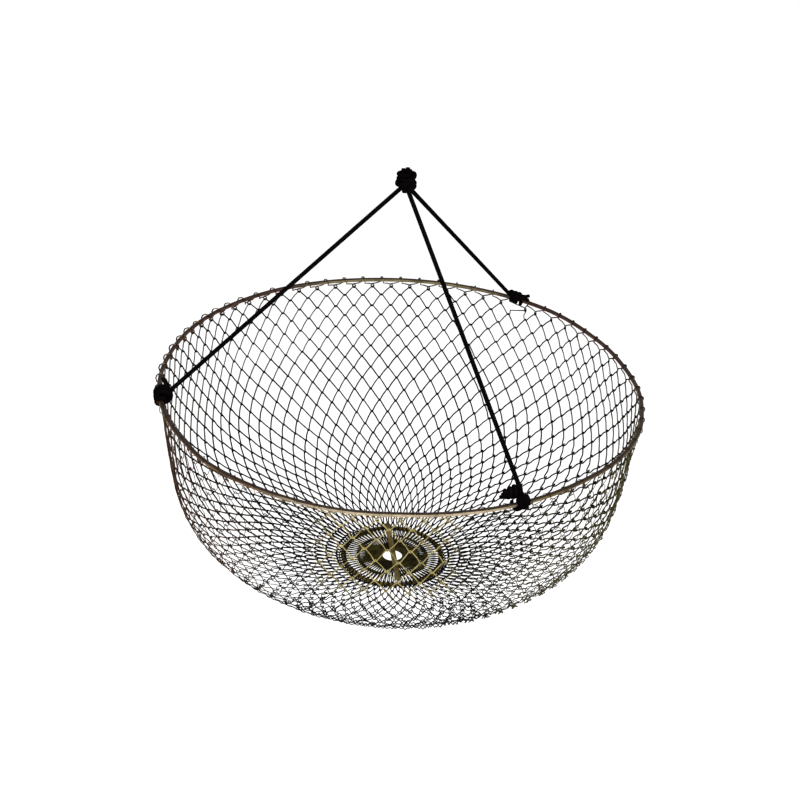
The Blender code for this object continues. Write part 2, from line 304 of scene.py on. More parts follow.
def carry_attributes(meshes, whole):
    """Copies the tree's own point values, such as a rope's length, to the joined mesh."""
    for label in ("along", "around", "top", "lit"):
        if not all(label in mesh.attributes for mesh in meshes):
            continue
        values = []
        for mesh in meshes:
            part = np.zeros(len(mesh.vertices))
            mesh.attributes[label].data.foreach_get("value", part)
            values.append(part)
        whole.attributes.new(label, "FLOAT", "POINT").data.foreach_set("value", np.concatenate(values))


def line_mesh(name, points):
    """A bare line of edges through the points."""
    mesh = bpy.data.meshes.new(name)
    mesh.from_pydata([tuple(p) for p in points], [(i, i + 1) for i in range(len(points) - 1)], [])
    return mesh


# %% [markdown]
# ## A hoop that isn't quite round
# The hoop was bent by hand and has been used, so it stands up to 5 mm inside or outside a true circle. The mesh
# could be pushed about by hand, but the hoop, the net's first rows and the finish of the loops round it all need
# the same few bends, so they are sums of smooth steps that every tree can use.

# %% Bends of the hoop
# Each bend starts, is full, starts to end and is over at these degrees round the hoop, and stands this many
# millimetres outside a true circle.
HOOP_BENDS = ((-8, 18, 30, 50, -4.6), (95, 130, 145, 175, 3.8),
              (-148, -134, -105, -85, 3.4), (-48, -30, -20, -5, 3.0))


def stretch(angle, start, full, ending, over):
    """From 0 to 1 and back to 0 along a stretch of the hoop that is given in degrees."""
    start, full, ending, over = (math.radians(place) for place in (start, full, ending, over))
    return angle.ramp(start, full) * (1 - angle.ramp(ending, over))


def hoop_bend(angle):
    """How far the hoop stands outside a true circle, in metres, at an angle round it."""
    angle = angle.maths("WRAP", math.pi, -math.pi)
    bend = 0.0
    for *places, millimetres in HOOP_BENDS:
        bend = stretch(angle, *places) * (millimetres / 1000) + bend
    return bend


# %% [markdown]
# ## Finishes
# All the wire is steel with a coat that has worn unevenly. The hoop has painted shade along its top. Below that it is
# brown on the left and olive on the right, and redder behind those, with a painted tan highlight in the middle. The
# thin wire is almost black. In front it is brown on the left and olive on the right, with a painted pale gold
# highlight low down in the middle, and at the upper back some steep strands have a painted grey glint. The ropes are
# matt black cord, painted darker in the braid's valleys as shade. A painted picture would need every wire laid out
# flat first, so each finish mixes noises over Object coordinates instead, and stays put on its piece.

# %% Shader helpers
def mix(tree, share, first, second):
    """Two colours mixed by a share."""
    node = tree.nodes.new("ShaderNodeMix")
    node.data_type = "RGBA"
    for index, value in ((0, share), (6, first), (7, second)):
        feed(tree, node.inputs[index], value)
    return node.outputs[2]


def colour(red, green, blue):
    """A colour given as it looks on a screen, from 0 to 255."""
    def linear(value):
        value /= 255
        return value / 12.92 if value <= 0.04045 else ((value + 0.055) / 1.055) ** 2.4
    return (linear(red), linear(green), linear(blue), 1)


def mottled(tree, patch, dark, light):
    """A dark and a light screen colour, mixed by the patches."""
    return mix(tree, patch, colour(*dark), colour(*light))


def speckle(tree, place, scale, detail=3.0, roughness=0.6):
    """Smooth noise over the piece, from about 0.25 to 0.75."""
    node = node_in(tree, "ShaderNodeTexNoise",
                   {"Vector": place, "Scale": scale, "Detail": detail, "Roughness": roughness})
    return Field(tree, node.outputs[0])


def painted(tree, name):
    """In a finish, a value that a tree stored at the piece's points."""
    return Field(tree, node_in(tree, "ShaderNodeAttribute", attribute_name=name).outputs["Fac"])


def new_finish(name):
    """A material with its Principled shader, and the piece's own coordinates in it."""
    material = bpy.data.materials.new(name)
    material.use_nodes = True
    tree = material.node_tree
    shader = next(n for n in tree.nodes if n.type == "BSDF_PRINCIPLED")
    place = output(tree, tree.nodes.new("ShaderNodeTexCoord"), "Object")
    return material, tree, shader, place


def roughen(tree, shader, height, strength, distance):
    """Small relief from a height that goes from 0 to 1."""
    bump = node_in(tree, "ShaderNodeBump", {"Height": height, "Strength": strength, "Distance": distance})
    feed(tree, shader.inputs["Normal"], bump.outputs[0])


WIRE_GRAIN, WIRE_ROUGHNESS = 900, 0.55


def worn_wire(tree, shader, place, base, rust, patches, gloss=0.03):
    """Finishes a wire's colour with rust specks and a fine drawn grain, and dulls it."""
    fine = speckle(tree, place, WIRE_GRAIN, 2)
    specks = speckle(tree, place, patches * 6, 4, 0.7).ramp(0.57, 0.68)
    feed(tree, shader.inputs["Base Color"], mix(tree, specks, base, rust))
    feed(tree, shader.inputs["Roughness"], WIRE_ROUGHNESS + specks * 0.3 + (fine - 0.5) * 0.3)
    shader.inputs["Specular IOR Level"].default_value = gloss
    roughen(tree, shader, fine + specks * 0.6, 0.35, 0.0002)


def steel_coat(tree, place, patch):
    """The hoop's coat: brown and olive at left and right in front, rusty and dark red behind, and a painted highlight
    in the middle, tan in front and olive tan behind.
    """
    x, y, _ = parts_of(tree, place)
    left = mix(tree, y.ramp(-0.08, 0.0), mottled(tree, patch, (56, 38, 20), (106, 78, 46)),
               mottled(tree, patch, (46, 27, 20), (88, 58, 44)))
    right = mix(tree, y.ramp(0.0, 0.05), mottled(tree, patch, (44, 34, 12), (96, 78, 40)),
                mottled(tree, patch, (44, 24, 20), (74, 46, 38)))
    # Painted highlight: the middle of the hoop, in front and behind, is lighter than its sides.
    middle = mix(tree, (y * -1).ramp(-0.05, 0.12), mottled(tree, patch, (84, 76, 50), (124, 114, 82)),
                 mottled(tree, patch, (150, 134, 108), (180, 164, 134)))
    sides = mix(tree, x.ramp(-0.05, 0.05), left, right)
    return mix(tree, x.maths("ABSOLUTE").ramp(0.06, 0.15), middle, sides)


# The dark of the painted shade on the hoop's top and on the loops round it.
PAINTED_SHADE = colour(28, 19, 14)


def hoop_finish(name):
    """The steel's coat, and painted shade along the top."""
    material, tree, shader, place = new_finish(name)
    coat = steel_coat(tree, place, speckle(tree, place, 40, 4).ramp(0.36, 0.64))
    shaded_top = (painted(tree, "top") + (speckle(tree, place, 70, 3) - 0.5) * 0.45).ramp(0.30, 0.65)
    worn_wire(tree, shader, place, mix(tree, shaded_top, coat, PAINTED_SHADE), colour(60, 36, 22), 40, gloss=0.12)
    return material


def wall_colour(tree, place, patch):
    """Almost black, with a painted grey glint on some steep strands at the upper back. In front brown on the left,
    olive on the right, and a painted pale gold highlight low down in the middle.
    """
    x, y, z = parts_of(tree, place)
    wave = (speckle(tree, place, 25, 2) - 0.5) * 0.05
    # Painted highlight: at the upper back, the down strands on the left and the up strands on the right get a grey
    # glint.
    upper_back = y.ramp(-0.05, 0.05) * (z - HOOP_HEIGHT).ramp(-0.16, -0.08)
    glint_side = ((x * -1).ramp(0.0, 0.1) - x.ramp(0.05, 0.14)) * upper_back
    painted_glint = (painted(tree, "lit") * glint_side).maths("MAXIMUM", 0) * (0.6 + patch * 0.4)
    base = mix(tree, painted_glint, mottled(tree, patch, (5, 4, 4), (16, 14, 13)), colour(104, 100, 96))
    front = (wave - y).ramp(-0.04, 0.08)
    left, right = (wave - x).ramp(0.10, 0.20), (x + wave).ramp(0.07, 0.18)
    base = mix(tree, front * left, base, mottled(tree, patch, (28, 18, 11), (70, 48, 32)))
    base = mix(tree, front * right, base, mottled(tree, patch, (28, 25, 11), (72, 66, 34)))
    # Painted highlight: pale gold on the wire low down in the front's middle.
    gold_highlight_zone = (wave - y).ramp(0.15, 0.20) * (z + wave * 0.5).ramp(-0.338, -0.308) * (
        1 - (x + 0.005 + wave * 0.4).maths("ABSOLUTE").ramp(0.048, 0.078))
    return mix(tree, gold_highlight_zone, base, mottled(tree, patch, (128, 116, 66), (170, 157, 106)))


def net_finish(name):
    """The wall's colours. The loops round the hoop have its coat, painted shade on their top and behind on their outer
    side, and a painted tan highlight on the hoop's upper side at the back on the left.
    """
    material, tree, shader, place = new_finish(name)
    x, y, z = parts_of(tree, place)
    patch = speckle(tree, place, 90, 4).ramp(0.36, 0.64)
    above = z - HOOP_HEIGHT
    outside = (x * x + y * y).maths("SQRT") - HOOP_RADIUS - hoop_bend(y.maths("ARCTAN2", x))
    on_hoop = 1 - above.maths("ABSOLUTE").ramp(0.0032, 0.0046)
    base = mix(tree, on_hoop, wall_colour(tree, place, patch), steel_coat(tree, place, patch))
    # Painted shade: the loops are darker above the hoop's top and, behind, on the hoop's outer side.
    base = mix(tree, above.ramp(0.0016, 0.0030), base, PAINTED_SHADE)
    base = mix(tree, outside.ramp(0.0022, 0.0030) * y.ramp(-0.08, 0.0) * on_hoop, base, PAINTED_SHADE)
    # Painted highlight: paler where the loops lie on the hoop's upper side at the back on the left.
    top_highlight = above.ramp(0.0006, 0.0016) * (1 - outside.maths("ABSOLUTE").ramp(0.0016, 0.0026)) * (
        1 - x.ramp(-0.12, -0.04)) * y.ramp(-0.06, 0.02)
    base = mix(tree, top_highlight, base, mottled(tree, patch, (88, 72, 52), (128, 112, 84)))
    worn_wire(tree, shader, place, base, colour(40, 27, 17), 90)
    return material


def base_finish(name, dark, light):
    """Olive steel in darker and lighter patches."""
    material, tree, shader, place = new_finish(name)
    base = mottled(tree, speckle(tree, place, 70, 4).ramp(0.36, 0.64), dark, light)
    worn_wire(tree, shader, place, base, colour(44, 30, 10), 70)
    return material


def rope_finish(name):
    """Matt black cord: the braid's valleys are painted darker as shade, and dust sits on its crowns."""
    material, tree, shader, place = new_finish(name)
    crown = braid_height(painted(tree, "around"), painted(tree, "along"))
    fuzz = speckle(tree, place, 2500, 3)
    dust = speckle(tree, place, 60, 3).ramp(0.4, 0.75)
    # Painted shade: the braid's valleys are darker than its crowns.
    base = mix(tree, crown, colour(2, 1, 2), colour(10, 8, 9))
    base = mix(tree, dust * crown * 0.4, base, colour(24, 20, 20))
    feed(tree, shader.inputs["Base Color"], base)
    feed(tree, shader.inputs["Roughness"], 0.78 + (fuzz - 0.5) * 0.3)
    shader.inputs["Specular IOR Level"].default_value = 0.0
    roughen(tree, shader, crown * 0.7 + fuzz * 0.5, 0.5, 0.00025)
    return material


BRAID_STRANDS = 8
BRAID_PITCH = 0.0034
CORD_SIDES, CORD_STEP = 32, 0.0005


def braid_height(turn, length):
    """How high the cover of the cord stands, from 0 in a valley to 1 on a crown."""
    right = turn * BRAID_STRANDS + length / BRAID_PITCH
    left = turn * BRAID_STRANDS - length / BRAID_PITCH
    return (right * math.pi).maths("SINE").maths("ABSOLUTE").maths("POWER", 0.6) * (
        (left * math.pi).maths("SINE").maths("ABSOLUTE").maths("POWER", 0.6))


# %% Finishes
HOOP_FINISH = hoop_finish("bronzed_steel")
NET_FINISH = net_finish("dark_net_wire")
BASE_FINISH = base_finish("olive_steel", (34, 28, 9), (82, 71, 32))
INNER_FINISH = base_finish("dark_olive_wire", (12, 10, 2), (42, 37, 12))
BAR_FINISH = base_finish("olive_strap", (50, 43, 20), (86, 76, 40))
ROPE_FINISH = rope_finish("black_cord")
print("finishes:", [m.name for m in (HOOP_FINISH, NET_FINISH, BASE_FINISH, INNER_FINISH, BAR_FINISH, ROPE_FINISH)])

# %% [markdown]
# ## Rope
# The bridle is black braided cord. Bump alone would leave the cord's edge smooth, so a tree sweeps a round section
# along a path and lifts the surface where a strand of the braid crosses over. The relief then follows the cord
# through every bend and knot.

# %% Rope tree
def make_rope_tree():
    """A braided cord along the path that comes in as a line of edges."""
    tree, given = new_tree("cord_along_a_path", Diameter="Float", Relief="Float")
    path = node_in(tree, "GeometryNodeMeshToCurve", {"Mesh": given["Geometry"]})
    even = node_in(tree, "GeometryNodeResampleCurve", {"Curve": path.outputs[0], "Length": CORD_STEP},
                   mode="LENGTH")
    run = node_in(tree, "GeometryNodeSplineParameter")
    measured = keep(tree, even.outputs[0], "along", output(tree, run, "Length"))
    circle = node_in(tree, "GeometryNodeCurvePrimitiveCircle",
                     {"Resolution": CORD_SIDES, "Radius": given["Diameter"] / 2})
    section = keep(tree, circle.outputs[0], "around", own(tree, "Index") / CORD_SIDES)
    skin = node_in(tree, "GeometryNodeCurveToMesh",
                   {"Curve": measured, "Profile Curve": section, "Fill Caps": True})
    lift = (braid_height(kept(tree, "around"), kept(tree, "along")) - 1) * given["Relief"]
    shift = node_in(tree, "ShaderNodeVectorMath", operation="SCALE")
    feed(tree, shift.inputs[0], own(tree, "Normal"))
    feed(tree, shift.inputs["Scale"], lift)
    braided = node_in(tree, "GeometryNodeSetPosition", {"Geometry": skin.outputs[0], "Offset": shift.outputs[0]})
    end_tree(tree, braided.outputs[0], ROPE_FINISH)
    return tree


ROPE_TREE = make_rope_tree()


def rope(name, points, diameter=ROPE, relief=0.00016):
    """A length of cord along the points."""
    return run_tree(name, ROPE_TREE, line_mesh(name, points), Diameter=diameter, Relief=relief)


# %% [markdown]
# ## Where the ropes run
# Each leg comes straight down from the knot and bends at once towards its own place on the hoop. The route
# repeats the part's own points, in metres, because the leg's solid follows them.

# %% Routes of the legs
BUNDLE_GAP = 0.0004
GAP = 0.0003
KNOT_TURNS = 2.6
KNOT_RISE = 0.0045
KNOT_SLACK = 0.0005
KNOT_PLACE = np.array((-0.0056, 0, 0.0051))
LEG_BEND = 0.0028
LEG_STUB = 0.002
HITCH_LEAD = 0.015
HITCH_DRIFT = 0.0016
HITCH_RISE = 0.0065
HITCH_TURNS = 1.72
POINT_STEP = 0.013
# A cord looks thinner than it is against white, so the legs are drawn thicker than the 4 mm of their solids. The
# windings are pulled tight, so they are thinner.
LEG_ROPE = 0.0047
WINDING_ROPE = 0.0038
WINDING_GAP = 0.0001


def smooth_curve(keys, steps):
    """A smooth line through the keys, with this many steps between two of them."""
    keys = [np.asarray(k, float) for k in keys]
    keys = [2 * keys[0] - keys[1], *keys, 2 * keys[-1] - keys[-2]]
    points = []
    for i in range(1, len(keys) - 2):
        a, b, c, d = keys[i - 1:i + 3]
        for step in range(steps):
            t = step / steps
            points.append(b + 0.5 * t * (c - a + t * (2 * a - 5 * b + 4 * c - d + t * (3 * b - a - 3 * c + d))))
    return [*points, keys[-2]]


def bundle_radius():
    """How far each leg's centre lies from the knot's axis, so that the three just clear each other."""
    angles = sorted(math.radians(a) for a in HITCHES.values())
    spaces = [(b - a) % (2 * math.pi) for a, b in zip(angles, angles[1:] + angles[:1])]
    return (ROPE + BUNDLE_GAP) / 2 / math.sin(min(spaces) / 2)


def knot_place(radius, angle, height):
    """A point round the middle of the top knot."""
    return around(radius, angle, height) + KNOT_PLACE


def leg_bend_point(angle):
    """Where a leg comes out of the top knot and turns towards the hoop."""
    return knot_place(bundle_radius(), angle, -KNOT_TURNS * KNOT_RISE / 2 - LEG_BEND)


def hitch_route(angle):
    """Where a leg ends above the hoop, its direction there, and where it meets the winding."""
    outward = around(1, angle, 0)
    centre = around(HOOP_RADIUS, angle + HITCH_DRIFT / HOOP_RADIUS, HOOP_HEIGHT)
    down = unit(centre - leg_bend_point(angle))
    slope = math.atan2(down[2], float(down @ outward))
    return centre - down * HITCH_LEAD, down, slope + math.pi / 2


def spaced(first, last):
    """Even points on a straight line, ends included."""
    steps = max(1, math.ceil(np.linalg.norm(last - first) / POINT_STEP))
    return [first + (last - first) * i / steps for i in range(steps + 1)]


def leg_points(angle):
    """A leg's path from the top knot, round its bend and straight down to its hitch."""
    end, _, _ = hitch_route(angle)
    top = knot_place(bundle_radius(), angle, (KNOT_TURNS * KNOT_RISE + ROPE) / 2 + LEG_STUB)
    bend = leg_bend_point(angle)
    before, after = bend + (0, 0, LEG_BEND), bend + unit(end - bend) * LEG_BEND
    corner = [(1 - t) ** 2 * before + 2 * t * (1 - t) * bend + t * t * after for t in (0.25, 0.5, 0.75)]
    return spaced(top, before) + corner + spaced(after, end)


def run_of(points):
    """The length of a line through the points."""
    return float(sum(np.linalg.norm(b - a) for a, b in zip(points, points[1:])))


# %% Three legs
for side, degrees in HITCHES.items():
    points = leg_points(math.radians(degrees))
    leg = as_piece(f"leg_{side}", [rope(f"leg_{side}", points, LEG_ROPE)])
    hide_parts(f"bridle_leg_{side}")
    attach(leg, "frame")
    run_of(points)
    print(f"leg_{side}: {run_of(points) * 1000:.0f} mm")

# %% [markdown]
# ## Knots
# Each leg is wound round the hoop and its end is tucked back through, so a fat lump and two short ends stand on
# the hoop's inner side. The three legs are gripped at the top by a winding with a crossed turn over it. Letting
# a simulated cord pull itself tight is slow and never ends the same way, so every turn is a coil with its own
# middle, width and taper.

# %% Hitches on the hoop
def on_hoop(angle, turn, onward):
    """A point on the winding round the hoop's wire, moved on along the hoop."""
    radius = HOOP_WIRE / 2 + WINDING_GAP + WINDING_ROPE / 2
    place = angle - onward / HOOP_RADIUS
    return around(HOOP_RADIUS + radius * math.cos(turn), place, HOOP_HEIGHT + radius * math.sin(turn))


def hitch_points(angle):
    """The end of the leg, wound round the hoop and then tucked back over itself."""
    end, down, touch = hitch_route(angle)
    first = end + down * GAP
    keys = [first + down * ROPE]
    steps = round(HITCH_TURNS * 8)
    for i in range(steps + 1):
        share = i / steps
        keys.append(on_hoop(angle, touch - 2 * math.pi * HITCH_TURNS * share, share * HITCH_TURNS * HITCH_RISE))
    return [first, *smooth_curve(keys, 4)]


def beside_hoop(angle, keys):
    """Points in metres, from millimetres along the hoop, inwards and up from the leg's place on it."""
    centre = around(HOOP_RADIUS, angle, HOOP_HEIGHT)
    along, inward, up = -around(1, angle + math.pi / 2, 0), -around(1, angle, 0), np.array((0, 0, 1.0))
    return [centre + (a * along + b * inward + c * up) / 1000 for a, b, c in keys]


# The ends run through these points: millimetres along the hoop, inwards and up. A grip is a coil: its two ends
# along the hoop, its middle, its half widths, its turns and how far it tapers.
UPPER_END = ((0, 4, 5), (4, 6, 8.5), (9, 7, 9.5), (14, 7, 9.5), (18, 6, 10), (21.5, 5, 11.5))
LOWER_END = ((-1, 8, 2.5), (4, 9.5, 5.5), (9, 9, 7.5), (14, 8.5, 8), (18, 8, 7.5), (22, 7.5, 7))
GRIPS = {"left": [((-7, 9), (3.4, 3.8), (8.0, 7.4), 2.7, 1.0), ((-2, 8), (6.0, 5.0), (3.4, 3.6), 2.4, 1.0),
                  ((-8, 8), (0, 0), (4.7, 4.7), 2.7, 1.0)],
         "back": [((-4, 8), (4.6, 4.4), (5.6, 5.4), 2.4, 1.0), ((-2, 8), (5.0, 4.6), (2.4, 2.4), 2.2, 1.0)],
         "front": [((1, 18), (7.0, 10.0), (4.8, 5.8), 3.3, 0.55), ((1, 18), (7.0, 10.0), (2.0, 2.4), 2.6, 0.6),
                   ((-4, 5), (0.8, 1.2), (4.6, 4.6), 2.6, 1.0)]}


def grip_keys(reach_along, middle, reach, turns, taper):
    """The points of one grip, in millimetres from the leg's place on the hoop."""
    keys = []
    for i in range(round(turns * 12) + 1):
        share = i / (turns * 12)
        turn = 2 * math.pi * turns * share + 0.6
        size = 1 + (taper - 1) * share ** 2
        keys.append((reach_along[0] + (reach_along[1] - reach_along[0]) * share,
                     middle[0] + size * reach[0] * math.cos(turn), middle[1] + size * reach[1] * math.sin(turn)))
    return keys


for side, degrees in HITCHES.items():
    angle = math.radians(degrees)
    strands = [rope(f"winding_{side}", hitch_points(angle), WINDING_ROPE),
               rope(f"upper_end_{side}", smooth_curve(beside_hoop(angle, UPPER_END), 4)),
               rope(f"lower_end_{side}", smooth_curve(beside_hoop(angle, LOWER_END), 4))]
    strands += [rope(f"grip_{side}", smooth_curve(beside_hoop(angle, grip_keys(*grip)), 3)) for grip in GRIPS[side]]
    hitch = as_piece(f"knot_{side}", strands)
    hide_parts(f"hitch_{side}")
    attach(hitch, "frame")

# %% Knot at the top
def coil_points(radius, turns, start, rise, tilt=0.0, tilt_way=0.0, middle=0.0):
    """Turns round the three legs, tilted if asked."""
    points = []
    for i in range(round(turns * 24) + 1):
        angle = start + 2 * math.pi * i / 24
        height = middle + (i / 24 - turns / 2) * rise + radius * math.sin(tilt) * math.cos(angle - tilt_way)
        points.append(knot_place(radius, angle, height))
    return points


grip = bundle_radius() + ROPE + GAP + KNOT_SLACK
coil = coil_points(grip, KNOT_TURNS, math.radians(90), KNOT_RISE)
tail = coil[-1] + unit(coil[-1] - coil[-2] + (0, 0, 0.4)) * 0.006
coil = [coil[0] + unit(coil[0] - coil[1]) * ROPE, *coil, tail]
cross = coil_points(grip + 0.0012, turns=1.1, start=math.radians(250), rise=0.002, tilt=math.radians(38),
                    tilt_way=math.radians(20), middle=-0.001)
low_turn = coil_points(0.0056, turns=1.5, start=math.radians(200), rise=0.0034, tilt=0.35, middle=-0.0088)
low_turn = [p + (0.0035, 0, 0) for p in low_turn]
top_knot = as_piece("top_knot", [rope("top_coil", coil), rope("top_cross", cross), rope("top_turn", low_turn)])
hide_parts("apex_knot")
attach(top_knot, "frame")

# %% [markdown]
# ## Rings
# The hoop and the two smaller rings are bent from round wire and welded shut. A torus would be too perfect, so
# one tree bends a circle, lets it wander by a fraction of a millimetre as hand-bent wire does, and thickens it
# at the weld.

# %% Ring tree
RING_SIDES = 18


def make_ring_tree(name, finish):
    """A ring of round wire, with the hoop's bends where Bend is 1."""
    tree, given = new_tree(name, Radius="Float", Wire="Float", Height="Float", Wander="Float", Steps="Int",
                           Weld="Float", Bend="Float")
    ring = node_in(tree, "GeometryNodeCurvePrimitiveCircle",
                   {"Resolution": given["Steps"], "Radius": given["Radius"]})
    place = own(tree, "Position")
    noise = node_in(tree, "ShaderNodeTexNoise", {"Vector": place, "Scale": 9.0, "Detail": 1.0})
    push = node_in(tree, "ShaderNodeVectorMath", operation="MULTIPLY_ADD")
    feed(tree, push.inputs[0], noise.outputs["Color"])
    wander = vector(tree, given["Wander"] * 2, given["Wander"] * 2, given["Wander"] * 2)
    feed(tree, push.inputs[1], wander)
    x, y, _ = parts_of(tree, place)
    angle = y.maths("ARCTAN2", x)
    bend = hoop_bend(angle) * given["Bend"]
    feed(tree, push.inputs[2], vector(tree, bend * angle.maths("COSINE") - given["Wander"],
                                      bend * angle.maths("SINE") - given["Wander"],
                                      given["Height"] - given["Wander"]))
    bent = node_in(tree, "GeometryNodeSetPosition", {"Geometry": ring.outputs[0], "Offset": push.outputs[0]})
    apart = (own(tree, "Index") / given["Steps"] - given["Weld"]).maths("ABSOLUTE") * given["Radius"] * (2 * math.pi)
    swell = 1 + (1 - apart.ramp(0.0, 0.004)) * 0.16
    skin = swept(tree, bent.outputs[0], RING_SIDES, given["Wire"], swell)
    # The surface's upward share is kept as top, for the painted shade along the hoop's top.
    _, _, upward = parts_of(tree, own(tree, "Normal"))
    end_tree(tree, keep(tree, skin, "top", upward), finish)
    return tree


# %% Hoop and rings
# Name, node, body, slot, finish, radius, wire, wander, steps round the ring, and the weld's share of the way round.
RINGS = (
    ("hoop_ring", "hoop", "frame", "hoop_wire", HOOP_FINISH, HOOP_RADIUS, HOOP_WIRE, 0.0005, 720, 0.2),
    ("bait_ring_wire", "bait_ring", "base", "base_wire", BASE_FINISH, RING_RADIUS, RING_WIRE, 0.0003, 240, 0.6),
    ("centre_ring_wire", "centre_ring", "base", "base_wire", BASE_FINISH, CENTRE_RADIUS, CENTRE_WIRE, 0.0002, 72,
     0.4),
)
for name, node, body, slot, finish, radius, wire, wander, steps, weld in RINGS:
    low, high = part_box(node)
    mesh = run_tree(name, make_ring_tree("ring_of_" + node, finish), line_mesh(name, [(0, 0, 0)]), Radius=radius,
                    Wire=wire, Height=(low.z + high.z) / 2, Wander=wander, Steps=steps, Weld=weld,
                    Bend=float(node == "hoop"))
    piece = as_piece(name, [mesh])
    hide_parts(node)
    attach(piece, body)

# %% [markdown]
# ## The basket
# The basket is a chain-link fabric: each row is one zigzag wire with 72 hooks, and each hook passes through the
# hook above it. A lattice of crossed wires would look alike from afar, but nothing in it would hang in anything.
# So a short row hangs in loops on the hoop, and 26 rows follow down to the thick ring. The rows are laid over one
# outline that is turned round the axis, so the tree needs only that curve and one hook's shape.

# %% The basket's outline
BASKET_KEYS = ((0.985, 0.136), (0.965, 0.362), (0.915, 0.588), (0.790, 0.765), (0.580, 0.885))
OVER_HOOP = 0.012
OVER_SHARES = (1, 0.75, 0.5, 0.25)
OUTLINE_STEPS, INNER_STEP, OUTLINE_END = 57, 0.001, 0.004
# How far down the outline each row begins, in millimetres from the hoop, and where the last one ends.
LEVELS = (0, 8.3, 18.0, 31.2, 43.4, 57.0, 69.8, 83.2, 95.9, 109.8, 122.8, 136.8, 150.8, 164.9, 179.5, 191.9, 205.6,
          219.3, 230.4, 242.4, 254.7, 267.2, 279.8, 292.4, 304.8, 317.3, 329.8, 337.1)
NET_TURN = math.radians(0.23)
# The hooks keep the pitch of 71 round the hoop, because one of the 72 is crowded in between the others.
COLUMNS = 72
COLUMN_PITCH = 2 * math.pi / (COLUMNS - 1)


def basket_outline():
    """Points down the basket's wall: distance from the axis, zero, height."""
    keys = [np.array((HOOP_RADIUS, 0, 0))]
    keys += [np.array((a * HOOP_RADIUS, 0, -b * BASKET_DEPTH)) for a, b in BASKET_KEYS]
    keys += [np.array((RING_RADIUS, 0, -BASKET_DEPTH))]
    points = [p + (0, 0, HOOP_HEIGHT) for p in smooth_curve(keys, OUTLINE_STEPS)]
    over = [points[0] - unit(points[1] - points[0]) * OVER_HOOP * share for share in OVER_SHARES]
    inner = [(r, 0, BASE_HEIGHT) for r in np.arange(RING_RADIUS - INNER_STEP, OUTLINE_END, -INNER_STEP)]
    return over + points + [np.array(p) for p in inner]


OUTLINE = basket_outline()
outline_curve = bpy.data.curves.new("basket_outline", "CURVE")
outline_curve.dimensions = "3D"
spline = outline_curve.splines.new("POLY")
spline.points.add(len(OUTLINE) - 1)
for point, place in zip(spline.points, OUTLINE):
    point.co = (*place, 1)
outline = add_object("basket_outline", outline_curve)
print(f"outline: {run_of(OUTLINE[len(OVER_SHARES):]) * 1000:.0f} mm from the hoop to the middle")

# %% One hook's shape
def bend_of(share, drop, loose, *points):
    """The points of one bend: along the row, down the wall and off the wall, in millimetres. They all have the
    bend's share of the hook's width and of the drop to the lower hooks, and are free to open by its looseness."""
    return [(point, share, drop, loose) for point in points]


TOP_HOOK = bend_of(0, 0, 1, (-1.7, 0.55, -0.75), (-0.95, -0.4, -0.6), (0, -0.72, 0), (0.95, -0.4, 0.6),
                   (1.7, 0.55, 0.75))
DOWN_STRAND = bend_of(0.25, 0.5, 0, (0.45, -0.3, 0.45))
LOW_HOOK = bend_of(0.5, 1, 1, (-1.7, -0.55, 0.75), (-0.95, 0.4, 0.6), (0, 0.72, 0), (0.95, 0.4, -0.6),
                   (1.7, -0.55, -0.75))
UP_STRAND = bend_of(0.75, 0.5, 0, (-0.1, 0, -0.45))
EYE = bend_of(0.5, 1, 0.3, (0.6, -3.2, 0.8), (1.7, -1.5, 0.7), (1.3, 0.3, 0.4), (0, 0.95, 0), (-1.3, 0.3, -0.4),
              (-1.7, -1.5, -0.7), (-0.6, -3.2, -0.8))
HOOP_LOOP = bend_of(0, 0, 1, (-1.2, 2.7, -2.7), (-1.2, -0.4, -2.95), (-0.8, -2.2, -2.1), (0, -2.95, 0),
                    (0.8, -2.2, 2.1), (1.2, -0.4, 2.95), (1.2, 2.7, 2.7))
RING_LOOP = bend_of(0.5, 1, 0, (-1.2, -2.6, 3.0), (-0.9, 0.4, 3.3), (-0.4, 2.5, 2.3), (0, 3.35, 0), (0.4, 2.5, -2.3),
                    (0.9, 0.4, -3.3), (1.2, -2.6, -3.0))


def hook_shape(name, top, low):
    """The points of one hook's width as a mesh, with their shares kept as attributes."""
    rows = top + DOWN_STRAND + low + UP_STRAND
    mesh = line_mesh(name, [np.array(row[0]) / 1000 for row in rows])
    for column, label in enumerate(("share", "drop", "loose"), 1):
        mesh.attributes.new(label, "FLOAT", "POINT").data.foreach_set("value", [row[column] for row in rows])
    return mesh


SHAPES = {"hoop": hook_shape("hoop_row", HOOP_LOOP, EYE), "wall": hook_shape("wall_row", TOP_HOOK, LOW_HOOK),
          "ring": hook_shape("ring_row", TOP_HOOK, RING_LOOP)}
print("points in a hook:", {name: len(mesh.vertices) for name, mesh in SHAPES.items()})

# %% Where the hooks stand
# The middle of a winding from its leg's place on the hoop, and the room that it needs on each side.
HITCH_MIDDLE = math.radians(-1.35)
HITCH_ROOM = math.radians(2.6)
# From the first of these degrees round the hoop to the second, the hooks are drawn back more and more, up to the
# third, and all the later ones by as much.
CROWDING = ((134, 172, 4.4), (190, 215, math.degrees(COLUMN_PITCH) - 4.4))
# A slide starts, is full, starts to end and is over at these degrees, and moves the hooks back by so many.
SLIDES = ((-50, -20, 7, 22, 1.5), (-50, -20, 45, 70, 0.8))
# How much lower the net hangs all round, in metres, and how much more than that on the right and less on the left.
HANGS_LOW, HANGS_RIGHT = 0.00096, 0.00384


